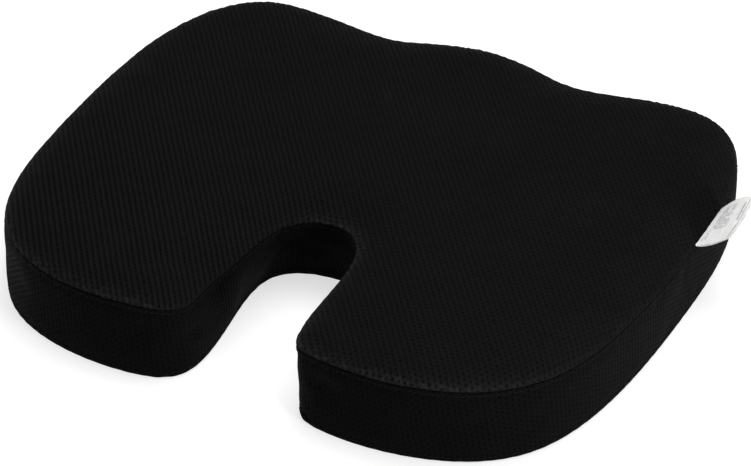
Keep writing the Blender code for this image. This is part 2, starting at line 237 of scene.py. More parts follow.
def fill(points, loops):
    """Triangles through all the points, inside the first loop and outside the others."""
    points = np.asarray(points, float)
    edges = []
    for loop in loops:
        edges += [(int(loop[k]), int(loop[(k + 1) % len(loop)])) for k in range(len(loop))]
    got = geometry.delaunay_2d_cdt([Vector(p) for p in points], edges, [], 0, 1e-5, True)
    back = [o[0] if o else -1 for o in got[3]]
    tris = np.array([[back[i] for i in f] for f in got[2]])
    tris = tris[(tris >= 0).all(1)]
    keep = np.ones(len(tris), bool)
    for k, loop in enumerate(loops):
        member = np.zeros(len(points), bool)
        member[loop] = True
        doubt = np.where(member[tris].all(1))[0]
        inside = within(points[tris[doubt]].mean(1), points[loop])
        keep[doubt] &= inside if k == 0 else ~inside
    return [tuple(t) for t in tris[keep].tolist()]


def lattice(low, high, spacing=LATTICE, turn=TOP_TURN):
    """(points, whether each is a hole) of a triangular lattice over a box."""
    reach = int(np.hypot(*(np.array(high) - low)) / spacing) + 4
    i, j = np.meshgrid(np.arange(-reach, reach), np.arange(-reach, reach), indexing="ij")
    i, j = i.ravel(), j.ravel()
    a1 = spacing * np.array([math.cos(turn), math.sin(turn)])
    a2 = spacing * np.array([math.cos(turn + math.pi / 3), math.sin(turn + math.pi / 3)])
    centre = (np.array(low) + high) / 2
    p = centre + i[:, None] * a1 + j[:, None] * a2
    keep = ((p > low) & (p < high)).all(1)
    return p[keep], ((i - j) % 3 == 0)[keep]


def smoothed(values, faces, n, rounds, fixed):
    """Values at vertices, evened out along the mesh's edges."""
    f = np.asarray(faces)
    e = np.concatenate([f[:, [0, 1]], f[:, [1, 2]], f[:, [2, 0]]])
    count = np.bincount(e.ravel(), minlength=n).astype(float)
    free = ~fixed & (count > 0)
    values = values.copy()
    for _ in range(rounds):
        total = np.stack([np.bincount(e[:, 0], values[e[:, 1], k], n) + np.bincount(e[:, 1], values[e[:, 0], k], n)
                          for k in range(values.shape[1])], 1)
        mean = total / np.maximum(count, 1)[:, None]
        values[free] += 0.6 * (mean[free] - values[free])
    return values


# ---- the stuffed cover, simulated as cloth -----------------------------------------
COARSE = 264


def coarse_cover():
    """A closed stuffed shape: (points, faces, pinned, top points' count, band rows)."""
    s = np.arange(COARSE) * LENGTH / COARSE
    top_xy = along(TOP, s)
    rings2d = [top_xy - along(NT, s) * i for i in (0, 2.5, 6.0)]
    inner, _ = lattice([-225, -205], [225, 205], 7.5, math.radians(30))
    d, _ = nearest_on_outline(inner)
    flat = np.concatenate(rings2d + [inner[d > 10]])
    tris = fill(flat, [list(range(COARSE))])
    inset, _ = nearest_on_outline(flat)
    inset[:COARSE] = 0
    top3 = np.column_stack([flat, seam_z(flat[:, 1]) + 0.8 * crown(inset)])
    rows = [1.0, 0.83, 0.66, 0.5, 0.34, 0.17, 0.0]
    points, faces = [top3], [tuple(t) for t in tris]
    count = len(top3)
    row_index = [np.arange(COARSE)]
    for f in rows[1:]:
        z = 1.0 + f * (seam_z(top_xy[:, 1]) - 1.0)
        points.append(np.column_stack([side_xy(s, z, np.zeros(COARSE)), z]))
        row_index.append(np.arange(COARSE) + count)
        count += COARSE
    for upper, lower in zip(row_index, row_index[1:]):
        for k in range(COARSE):
            j = (k + 1) % COARSE
            faces.append((upper[k], lower[k], lower[j], upper[j]))
    low_xy = points[-1][:, :2]
    base_in, _ = lattice([-225, -205], [225, 205], 16, 0)
    db, _ = nearest_on_outline(base_in, BOT)
    base_in = base_in[db > 12]
    base2d = np.concatenate([low_xy, base_in])
    base_tris = fill(base2d, [list(range(COARSE))])
    points.append(np.column_stack([base_in, np.full(len(base_in), 1.0)]))
    lookup = np.concatenate([row_index[-1], count + np.arange(len(base_in))])
    faces += [tuple(lookup[list(t)][::-1]) for t in base_tris]
    total = np.concatenate(points)
    pinned = np.zeros(len(total), bool)
    pinned[:COARSE] = True
    pinned[row_index[-1]] = True
    pinned[count:] = True
    return total, faces, pinned, len(top3), row_index, flat, tris


def simulate():
    """How far each coarse point moves as the stuffing presses the cover out."""
    points, faces, pinned, n_top, rows, flat, tris = coarse_cover()
    moved = np.zeros_like(points)
    sim = make("stuffing", points, faces, body=None)
    outward(sim)
    group = sim.vertex_groups.new(name="sewn")
    group.add([int(k) for k in np.where(pinned)[0]], 1.0, "REPLACE")
    cloth = sim.modifiers.new("cloth", "CLOTH")
    st = cloth.settings
    st.quality = 5
    st.mass = 0.25
    st.tension_stiffness = st.compression_stiffness = 12
    st.shear_stiffness = 5
    st.bending_stiffness = 4
    st.use_pressure = True
    st.uniform_pressure_force = 4.0
    st.shrink_min = -0.012
    st.vertex_group_mass = "sewn"
    st.effector_weights.gravity = 0.0
    cloth.collision_settings.use_collision = False
    cloth.point_cache.frame_start, cloth.point_cache.frame_end = 1, 22
    scene = bpy.context.scene
    scene.frame_start, scene.frame_end = 1, 22
    for f in range(1, 21):
        scene.frame_set(f)
    depsgraph = bpy.context.evaluated_depsgraph_get()
    result = sim.evaluated_get(depsgraph).to_mesh()
    co = np.empty(len(result.vertices) * 3, np.float32)
    result.vertices.foreach_get("co", co)
    moved = co.reshape(-1, 3) / MM - points
    scene.frame_set(1)
    bpy.data.objects.remove(sim, do_unlink=True)
    return points, moved, n_top, rows, flat, tris


def capped(move, most):
    """Moves kept under a limit, without a step where it is reached."""
    size = np.linalg.norm(move, axis=1, keepdims=True)
    return move * (most * np.tanh(size / most) / np.maximum(size, 1e-9))


SIM, MOVED, N_TOP, ROWS, FLAT, FLAT_TRIS = simulate()
TOP_MOVE = smoothed(capped(MOVED[:N_TOP], 3.2), FLAT_TRIS, N_TOP, 2, np.arange(N_TOP) < COARSE)
BAND_MOVE = np.stack([capped(MOVED[r], 0.9) for r in ROWS])      # rows from the seam down
_flat_tree = BVHTree.FromPolygons([Vector((x, y, 0)) for x, y in FLAT], [tuple(t) for t in FLAT_TRIS])


def top_move(xy):
    """The simulation's move at flat positions on the top."""
    out = np.zeros((len(xy), 3))
    for k, (x, y) in enumerate(xy):
        spot, _, face, _ = _flat_tree.find_nearest(Vector((x, y, 0)))
        a, b, c = FLAT_TRIS[face]
        (ax, ay), (bx, by), (cx, cy) = FLAT[a], FLAT[b], FLAT[c]
        det = (by - cy) * (ax - cx) + (cx - bx) * (ay - cy)
        u = ((by - cy) * (spot.x - cx) + (cx - bx) * (spot.y - cy)) / det
        v = ((cy - ay) * (spot.x - cx) + (ax - cx) * (spot.y - cy)) / det
        out[k] = u * TOP_MOVE[a] + v * TOP_MOVE[b] + (1 - u - v) * TOP_MOVE[c]
    return out


def band_move(s, f):
    """The simulation's move on the band, at a fraction f of its height."""
    col = np.mod(s, LENGTH) / LENGTH * COARSE
    c0 = np.floor(col).astype(int) % COARSE
    cf = (col - np.floor(col))[:, None]
    levels = np.array([1.0, 0.83, 0.66, 0.5, 0.34, 0.17, 0.0])[::-1]
    table = BAND_MOVE[::-1]
    f = np.clip(f, 0, 1)
    r0 = np.clip(np.searchsorted(levels, f, "right") - 1, 0, len(levels) - 2)
    rf = ((f - levels[r0]) / (levels[r0 + 1] - levels[r0]))[:, None]
    rf = rf * rf * (3 - 2 * rf)
    c1 = (c0 + 1) % COARSE
    cf = cf * cf * (3 - 2 * cf)
    low = table[r0, c0] * (1 - cf) + table[r0, c1] * cf
    high = table[r0 + 1, c0] * (1 - cf) + table[r0 + 1, c1] * cf
    return low * (1 - rf) + high * rf


# ---- materials -----------------------------------------------------------------------
class Nodes:
    """A short way to write a material's node tree."""

    def __init__(self, name, **shader):
        self.mat = bpy.data.materials.new(name)
        self.mat.use_nodes = True
        self.tree = self.mat.node_tree
        self.shader = self.tree.nodes["Principled BSDF"]
        for key, value in shader.items():
            self.shader.inputs[key.replace("_", " ")].default_value = value

    def new(self, kind, inputs=None, **settings):
        node = self.tree.nodes.new(kind)
        for key, value in settings.items():
            setattr(node, key, value)
        for key, value in (inputs or {}).items():
            if isinstance(value, bpy.types.NodeSocket):
                self.tree.links.new(value, node.inputs[key])
            else:
                node.inputs[key].default_value = value
        return node

    def math(self, operation, a, b=0.0, clamp=False):
        node = self.new("ShaderNodeMath", {0: a, 1: b}, operation=operation)
        node.use_clamp = clamp
        return node.outputs[0]

    def ramp(self, value, low, high, to_low=0.0, to_high=1.0):
        node = self.new("ShaderNodeMapRange", {0: value, 1: low, 2: high, 3: to_low, 4: to_high})
        node.interpolation_type = "SMOOTHSTEP"
        return node.outputs[0]

    def mix(self, factor, a, b):
        node = self.new("ShaderNodeMix", data_type="RGBA")
        for key, value in ((0, factor), (6, a), (7, b)):
            if isinstance(value, bpy.types.NodeSocket):
                self.tree.links.new(value, node.inputs[key])
            else:
                node.inputs[key].default_value = value
        return node.outputs[2]

    def attribute(self, name):
        return self.new("ShaderNodeAttribute", attribute_name=name).outputs["Fac"]

    def place(self):
        return self.new("ShaderNodeTexCoord").outputs["Object"]

    def noise(self, where, scale, detail=2.0, rough=0.5):
        return self.new("ShaderNodeTexNoise", {"Vector": where, "Scale": scale, "Detail": detail,
                                               "Roughness": rough}).outputs["Fac"]

    def bump(self, height, strength, distance, after=None):
        inputs = {"Height": height, "Strength": strength, "Distance": distance}
        if after is not None:
            inputs["Normal"] = after
        return self.new("ShaderNodeBump", inputs).outputs["Normal"]

    def link(self, value, socket):
        self.tree.links.new(value, self.shader.inputs[socket])

    def done(self, colour=None, rough=None, normal=None):
        if colour is not None:
            self.link(colour, "Base Color")
        if rough is not None:
            self.link(rough, "Roughness")
        if normal is not None:
            self.link(normal, "Normal")
        return self.mat


def grey(v, tint=(1, 1, 1)):
    return (v * tint[0], v * tint[1], v * tint[2], 1.0)


def spacer_mesh(name, turn, base, sheen, gloss, grooves, fade=(1.0, 1.0, 1.0), tint=(1, 1, 1.02), sheen_rough=0.4):
    """Black spacer mesh: knitted ribs round dark holes, on the cloth's own flat layout."""
    n = Nodes(name, Roughness=0.85, Sheen_Weight=sheen, Sheen_Roughness=sheen_rough, Specular_IOR_Level=gloss)
    n.shader.inputs["Sheen Tint"].default_value = (0.80, 0.82, 0.90, 1)
    at = n.place()
    flat = n.new("ShaderNodeCombineXYZ", {0: n.attribute("cloth_u"), 1: n.attribute("cloth_v")}).outputs[0]
    wander = n.new("ShaderNodeTexNoise", {"Vector": flat, "Scale": 0.35, "Detail": 1.0}).outputs["Color"]
    wander = n.new("ShaderNodeVectorMath", {0: wander, 1: (0.5, 0.5, 0.5)}, operation="SUBTRACT").outputs[0]
    wander = n.new("ShaderNodeVectorMath", {0: wander, "Scale": 0.55}, operation="SCALE").outputs[0]
    flat = n.new("ShaderNodeVectorMath", {0: flat, 1: wander}, operation="ADD").outputs[0]
    k = 4 * math.pi / (math.sqrt(3) * PITCH)
    waves = []
    for third in range(3):
        a = turn + third * math.pi / 3
        dot = n.new("ShaderNodeVectorMath", {0: flat, 1: (k * math.cos(a), k * math.sin(a), 0.0)},
                    operation="DOT_PRODUCT").outputs["Value"]
        waves.append(n.math("COSINE", dot))
    total = n.math("ADD", n.math("ADD", waves[0], waves[1]), waves[2])      # 3 in a hole, -1.5 between them
    hole = n.ramp(total, 0.75, 2.1)
    groove = n.ramp(waves[0], -0.4, 1.0)                                   # the lines along the ribs
    cloud = n.noise(at, 16, 3)
    patch = n.noise(at, 55, 2)
    yarn = n.new("ShaderNodeTexVoronoi", {"Vector": flat, "Scale": 1.15, "Randomness": 0.8}).outputs["Distance"]
    fibre = n.noise(at, 2600, 2, 0.6)
    light = n.math("ADD", n.ramp(cloud, 0.25, 0.75, 0.88, 1.12), n.ramp(patch, 0.3, 0.7, -0.06, 0.06))
    light = n.math("MULTIPLY", light, n.ramp(fibre, 0.3, 0.75, 0.75, 1.3))
    light = n.math("MULTIPLY", light, n.ramp(yarn, 0.0, 0.75, 1.15, 0.8))
    # fall scales the grooves' darkening, which is painted shade in the grooves between the ribs; fade sets how it
    # changes across the panel with the light's direction
    fall = n.math("MULTIPLY", n.ramp(n.attribute("cloth_u"), -190, 230, fade[0] * grooves, fade[1] * grooves),
                  n.ramp(n.attribute("cloth_v"), -130, 90, 1.0, fade[2]))
    deep = n.math("MULTIPLY", groove, fall)
    light = n.math("MULTIPLY", light, n.math("SUBTRACT", 1.2, n.math("MULTIPLY", deep, 0.78)))
    # the edge attribute brightens the colour: a painted highlight along the rolled seam edges, broken up by noise
    painted_rim_light = n.math("MULTIPLY", n.attribute("edge"), n.ramp(n.noise(at, 260, 3), 0.35, 0.75, 0.8, 3.4))
    light = n.math("ADD", light, painted_rim_light)
    knit = n.new("ShaderNodeVectorMath", {0: grey(base, tint)[:3], "Scale": light}, operation="SCALE").outputs[0]
    # the holes are mixed towards a tenth of the base colour: painted shade inside the knit's holes
    colour = n.mix(n.math("MULTIPLY", hole, 0.62), knit, grey(base * 0.1))
    rough = n.math("ADD", n.ramp(fibre, 0.3, 0.7, 0.72, 0.92), n.math("MULTIPLY", hole, 0.08), clamp=True)
    normal = n.bump(n.math("MULTIPLY", deep, -1.0), 0.5, 0.0005)
    normal = n.bump(n.math("MULTIPLY", hole, -1.0), 0.5, 0.0006, normal)
    normal = n.bump(yarn, 0.4, 0.0003, normal)
    normal = n.bump(fibre, 0.3, 0.00012, normal)
    return n.done(colour, rough, normal)


def woven(name, base, scale=1100.0, roughness=0.8, sheen=0.1, tint=(1, 1, 1), contrast=0.45):
    """Plain weave in object space, for base cloth, tape and the liner."""
    n = Nodes(name, Roughness=roughness, Sheen_Weight=sheen, Sheen_Roughness=0.4, Specular_IOR_Level=0.15)
    at = n.place()
    warp = n.new("ShaderNodeTexWave", {"Vector": at, "Scale": scale / 6.28, "Distortion": 0.4, "Detail": 1.0},
                 wave_type="BANDS", bands_direction="X").outputs["Fac"]
    weft = n.new("ShaderNodeTexWave", {"Vector": at, "Scale": scale / 6.28, "Distortion": 0.4, "Detail": 1.0},
                 wave_type="BANDS", bands_direction="Y").outputs["Fac"]
    cloth = n.math("MULTIPLY", warp, weft)
    cloud = n.noise(at, 30, 3)
    fibre = n.noise(at, 3000, 2)
    light = n.math("MULTIPLY", n.ramp(cloth, 0.0, 0.9, 1 - contrast, 1 + contrast * 0.5),
                   n.ramp(cloud, 0.3, 0.7, 0.85, 1.15))
    colour = n.new("ShaderNodeVectorMath", {0: grey(base, tint)[:3], "Scale": light}, operation="SCALE").outputs[0]
    normal = n.bump(cloth, 0.5, 0.0002)
    normal = n.bump(fibre, 0.25, 0.00008, normal)
    return n.done(colour, n.ramp(fibre, 0.3, 0.7, roughness - 0.1, min(1, roughness + 0.08)), normal)


def foam_material():
    n = Nodes("foam_cells", Roughness=0.9, Subsurface_Weight=0.08)
    at = n.place()
    cells = n.new("ShaderNodeTexVoronoi", {"Vector": at, "Scale": 900.0}).outputs["Distance"]
    big = n.new("ShaderNodeTexVoronoi", {"Vector": at, "Scale": 260.0}).outputs["Distance"]
    cloud = n.noise(at, 9, 4)
    pits = n.ramp(big, 0.0, 0.22, 1.0, 0.0)
    colour = n.mix(n.ramp(cloud, 0.35, 0.7), (0.80, 0.76, 0.64, 1), (0.73, 0.66, 0.50, 1))
    # the pits are darkened towards brown: painted shade in the foam's hollows
    colour = n.mix(n.math("MULTIPLY", pits, 0.35), colour, (0.42, 0.37, 0.27, 1))
    normal = n.bump(cells, 0.6, 0.0005)
    normal = n.bump(n.math("MULTIPLY", pits, -1.0), 0.6, 0.0008, normal)
    return n.done(colour, n.ramp(cells, 0, 0.6, 0.8, 0.98), normal)


def thread_material(name, base):
    """Twisted thread: fine slanting strands with a slight shine."""
    n = Nodes(name, Roughness=0.75, Sheen_Weight=0.005, Specular_IOR_Level=0.04)
    at = n.place()
    twist = n.new("ShaderNodeTexWave", {"Vector": at, "Scale": 420.0, "Distortion": 1.0}, wave_type="BANDS",
                  bands_direction="DIAGONAL").outputs["Fac"]
    fuzz = n.noise(at, 2500, 2)
    light = n.math("MULTIPLY", n.ramp(twist, 0.1, 0.9, 0.6, 1.25), n.ramp(fuzz, 0.3, 0.7, 0.85, 1.15))
    colour = n.new("ShaderNodeVectorMath", {0: grey(base)[:3], "Scale": light}, operation="SCALE").outputs[0]
    return n.done(colour, n.ramp(fuzz, 0.3, 0.7, 0.48, 0.68), n.bump(twist, 0.5, 0.0002))


def satin_material():
    """White satin ribbon with faint grey print that holds no lettering."""
    n = Nodes("label_satin", Roughness=0.42, Sheen_Weight=0.25, Sheen_Roughness=0.3, Specular_IOR_Level=0.5)
    u, v = n.attribute("label_u"), n.attribute("label_v")
    where = n.new("ShaderNodeCombineXYZ", {0: u, 1: v}).outputs[0]
    rib = n.new("ShaderNodeTexWave", {"Vector": where, "Scale": 28.0, "Distortion": 0.1}, wave_type="BANDS",
                bands_direction="Y").outputs["Fac"]

    def box(u0, u1, v0, v1, soft=0.03):
        across = n.math("MULTIPLY", n.ramp(u, u0, u0 + soft), n.ramp(u, u1, u1 - soft))
        return n.math("MULTIPLY", across, n.math("MULTIPLY", n.ramp(v, v0, v0 + soft), n.ramp(v, v1, v1 - soft)))

    def blots(su, sv, scale, low, high):
        at = n.new("ShaderNodeVectorMath", {0: where, 1: (su, sv, 0.0)}, operation="MULTIPLY").outputs[0]
        return n.ramp(n.noise(at, scale, 2), low, high)

    # smudged blocks of print, with a dotted line near the fold
    block = n.math("MULTIPLY", box(0.10, 0.60, 0.34, 0.95, 0.10), blots(1.0, 2.0, 9, 0.34, 0.54))
    foot_ = n.math("MULTIPLY", box(0.06, 0.22, 0.08, 0.42, 0.04), blots(1.0, 2.0, 14, 0.42, 0.55))
    dots = n.math("MULTIPLY", box(0.74, 0.81, 0.50, 0.90, 0.02), blots(6.0, 20.0, 2.2, 0.30, 0.44))
    print_ = n.math("MAXIMUM", n.math("MAXIMUM", n.math("MULTIPLY", block, 0.6), n.math("MULTIPLY", foot_, 0.5)),
                    n.math("MULTIPLY", dots, 0.9))
    cloud = n.noise(where, 5, 3)
    cloth = n.mix(n.ramp(cloud, 0.3, 0.7), (0.82, 0.82, 0.815, 1), (0.71, 0.705, 0.70, 1))
    colour = n.mix(print_, cloth, (0.34, 0.34, 0.35, 1))
    normal = n.bump(rib, 0.25, 0.0002)
    normal = n.bump(n.noise(where, 3.2, 2), 0.35, 0.002, normal)
    return n.done(colour, n.ramp(cloud, 0.3, 0.7, 0.36, 0.5), normal)


def enamel():
    """Black enamelled metal, rubbed to grey on its edges."""
    n = Nodes("zip_enamel", Roughness=0.36, Metallic=0.2, Specular_IOR_Level=0.4)
    at = n.place()
    worn = n.ramp(n.new("ShaderNodeNewGeometry").outputs["Pointiness"], 0.53, 0.62)
    scuff = n.noise(at, 900, 3)
    rub = n.math("MULTIPLY", n.math("MULTIPLY", worn, n.ramp(n.noise(at, 2200, 3), 0.45, 0.8)), 0.10)
    colour = n.mix(rub, grey(0.014), grey(0.18))
    return n.done(colour, n.ramp(scuff, 0.3, 0.7, 0.33, 0.42), n.bump(n.noise(at, 2600, 2), 0.08, 0.00003))


def nylon():
    n = Nodes("coil_nylon", Roughness=0.4, Specular_IOR_Level=0.5)
    at = n.place()
    rub = n.noise(at, 1300, 2)
    colour = n.mix(n.ramp(rub, 0.4, 0.75), grey(0.010), grey(0.022))
    return n.done(colour, n.ramp(rub, 0.3, 0.7, 0.34, 0.5), n.bump(rub, 0.15, 0.00006))


# the top's painted groove shade is deeper towards −x and −y of its layout and fainter towards +x and +y
MESH_TOP = spacer_mesh("spacer_mesh_top", TOP_TURN, 0.0030, 0.009, 0.04, 1.0, (1.25, 0.22, 0.62))
# the band is the top's spacer mesh at under a third of its base colour: painted shade on the cushion's sides
MESH_BAND = spacer_mesh("spacer_mesh_band_shaded", BAND_TURN, 0.0009, 0.012, 0.03, 0.3, tint=(1, 0.97, 1.22))
BASE_CLOTH = woven("base_weave", 0.0055, 900.0, 0.85, 0.03)
TAPE = woven("tape_weave", 0.007, 1500.0, 0.7, 0.03)
LINER_KNIT = woven("liner_knit", 0.03, 1400.0, 0.85, 0.05, (1, 1, 1.03), 0.3)
FOAM = foam_material()
THREAD = thread_material("seam_thread", 0.0036)
# THREAD_DARK is the same thread at under half the base colour: painted shade for the stitches at the foot of the
# band and under the cushion
THREAD_DARK = thread_material("seam_thread_dark", 0.0016)
SATIN = satin_material()
ENAMEL = enamel()
NYLON = nylon()


def grip_material():
    n = Nodes("grip_dots", Roughness=0.5, Specular_IOR_Level=0.5)
    at = n.place()
    dust = n.noise(at, 400, 3)
    return n.done(n.mix(n.ramp(dust, 0.45, 0.8), grey(0.014), grey(0.03)), n.ramp(dust, 0.3, 0.7, 0.42, 0.62),
                  n.bump(dust, 0.2, 0.0001))


GRIP = grip_material()


# ---- top panel ---------------------------------------------------------------------------
ROLL = 2.6        # cloth beyond the seam line that is rolled under


def puckers(s, d, size=1.0):
    """Small gathers that a seam leaves in the cloth beside it."""
    a = 2 * np.pi * s / LENGTH
    tight = 1 + 2.2 * np.clip(np.abs(along(CURVE, s)) * 24, 0, 1)
    gather = 0.11 * np.sin(191 * a + 2.0 * np.sin(13 * a)) + 0.09 * np.sin(127 * a + 3.1 * np.sin(7 * a + 1))
    return size * tight * gather * np.exp(-np.maximum(d, 0) / 7.0)


def top_shape(xy, inset, s):
    """Points on the top panel, from the seam inwards."""
    move = top_move(xy)
    near = np.exp(-np.maximum(inset, 0) / 7.0)
    move[:, :2] += along(NT, s) * (shove(s) * near)[:, None]
    z = seam_z(xy[:, 1]) + crown(inset) - dip(s) * np.exp(-np.maximum(inset, 0) / 11.0) + 0.6 * np.exp(-np.maximum(inset, 0) / 4) * seam_wander(s)
    z += puckers(s, inset)
    x, y = xy[:, 0], xy[:, 1]
    z += 0.22 * np.sin(x / 31 + 0.7 * np.sin(y / 43)) * np.sin(y / 37 + 1.3) * np.clip(inset / 30, 0, 1)
    p = np.column_stack([xy, z]) + move
    return p


def build_top():
    n_ring = 3 * int(LENGTH / 2.0 / 3)
    s = np.arange(n_ring) * LENGTH / n_ring
    edge, norm = along(TOP, s), along(NT, s)
    # distance from the cut edge, with how far in and how high each row lies
    rows = [(0.0, 2.2, -1.15), (0.8, 1.0, -1.30), (1.5, 0.25, -0.95), (2.1, -0.12, -0.35), (2.7, 0.02, 0.35),
            (3.4, 0.55, None), (4.2, 1.35, None), (5.2, 2.4, None)]
    flat, solid, hole, painted_rim_light = [], [], [], []
    for cut, inset, rise in rows:
        flat.append(edge + norm * (ROLL - cut))
        xy = edge - norm * inset
        if rise is None:
            p = top_shape(xy, np.full(n_ring, inset), s)
        else:
            lift = np.clip((cut - 1.0) / 2, 0, 1)
            z = seam_z(edge[:, 1]) + rise + 0.6 * seam_wander(s) + lift * puckers(s, np.zeros(n_ring))
            z -= dip(s)
            p = np.column_stack([xy + norm * (shove(s) - 0.9 * slack(s))[:, None], z])
        solid.append(p)
        hole.append(np.zeros(n_ring))
        # each row's share of the painted rim highlight, brightest about 3.6 mm in from the cut edge
        painted_rim_light.append(np.exp(-((cut - 3.6) / 2.0) ** 2) * rim_highlight(s))
    inner, holes = lattice([-232, -210], [232, 210])
    inset, si = nearest_on_outline(inner)
    keep = inset > 3.7
    inner, holes, inset, si = inner[keep], holes[keep], inset[keep], si[keep]
    inner3 = top_shape(inner, inset, si)
    flat.append(inner)
    flat2 = np.concatenate(flat)
    tris = fill(flat2, [list(range(n_ring))])
    solid.append(inner3)
    p = np.concatenate(solid)
    hole = np.concatenate(hole + [holes.astype(float)])
    # the painted rim highlight carries on a few millimetres into the panel
    painted_rim_light = np.concatenate(painted_rim_light + [1.1 * np.exp(-inset / 3.6) * rim_highlight(si)])
    # the simulation's moves are coarse, so the shape is evened out before the holes are sunk
    z = smoothed(p[:, 2:3].copy(), tris, len(p), 9, np.arange(len(p)) < 6 * n_ring)
    p[:, 2] = z[:, 0]
    fade = np.clip((np.concatenate([np.zeros(len(p) - len(inner)), inset]) - 3.0) / 1.5, 0, 1)
    depth = 0.5 * (1 + 0.18 * rng.standard_normal(len(p)))
    p[:, 2] -= hole * depth * fade
    p[:, 2] += (1 - hole) * fade * 0.05 * rng.standard_normal(len(p))
    # the inner face of the cloth, coarser, closes the panel
    back2, _ = lattice([-232, -210], [232, 210], 11.0)
    bd, bs = nearest_on_outline(back2)
    keep = bd > 6
    back2, bd, bs = back2[keep], bd[keep], bs[keep]
    ring2 = edge - norm * 3.4
    back_flat = np.concatenate([flat[0], ring2, back2])
    back_tris = fill(back_flat, [list(range(n_ring))])
    ring3 = top_shape(ring2, np.full(n_ring, 3.4), s)
    ring3[:, 2] = np.minimum(ring3[:, 2] - 2.9, seam_z(ring3[:, 1]) - 0.4)
    back3 = top_shape(back2, bd, bs)
    back3[:, 2] -= 3.0
    lookup = np.concatenate([np.arange(n_ring), len(p) + np.arange(n_ring + len(back2))])
    faces = [tuple(t) for t in tris] + [tuple(lookup[list(t)][::-1]) for t in back_tris]
    every = np.concatenate([p, ring3, back3])
    layout = np.concatenate([flat2, ring2, back2])
    obj = make("cover_top", every, faces, mat=MESH_TOP,
               attributes={"cloth_u": layout[:, 0], "cloth_v": layout[:, 1],
                           "edge": np.concatenate([painted_rim_light, np.zeros(n_ring + len(back2))])})
    return outward(obj)


# ---- side band ------------------------------------------------------------------------------
STITCH_DROP = 3.9
BAND_CENTRE = np.array([LENGTH / 2, (2.7 + 62.0) / 2])     # where its lattice is laid out from
STITCH_PITCH = 3.8


def band_shape(s, z, inset, hole=None):
    """Points on the band's outer face."""
    top_y = along(TOP, s)[:, 1]
    zs = seam_z(top_y)
    f = z / zs
    below = zs - z
    out = puckers(s, below - 1.5, 1.5) + 0.5 * puckers(s + 9, z, 1.0)
    out += wave(s, (13, 0.25, 0.3), (23, 0.2, 2.0), (37, 0.12, 1.0)) * np.sin(np.pi * np.clip(f, 0, 1))
    # the stitched line draws the cloth in, most where each stitch ends
    pull = np.exp(-((below - STITCH_DROP) / 0.9) ** 2)
    out -= pull * (0.38 + 0.16 * np.cos(2 * np.pi * s / STITCH_PITCH)) * (1 - 0.85 * slack(s))
    out -= 0.25 * np.exp(-((z - 4.0) / 1.0) ** 2)
    out += shove(s) * np.exp(-(np.maximum(below, 0) / 12.0) ** 2)
    out += foot(s) * (1 - np.exp(-(np.maximum(below, 0) / 14.0) ** 2))
    out -= 0.9 * bump_at(s, CORNER - 5, 4.0) * np.exp(-((below - 11) / 5.0) ** 2)
    out -= 1.1 * slack(s) * np.exp(-(np.maximum(below, 0) / 8.0) ** 2)
    xy = side_xy(s, z, inset - out)
    sunk = dip(s) * np.exp(-(np.maximum(below, 0) / 14.0) ** 2)
    p = np.column_stack([xy, z - sunk + 0.6 * seam_wander(s) * np.clip(1 - below / 12, 0, 1)])
    return p + band_move(s, (z - 1.0) / (zs - 1.0))


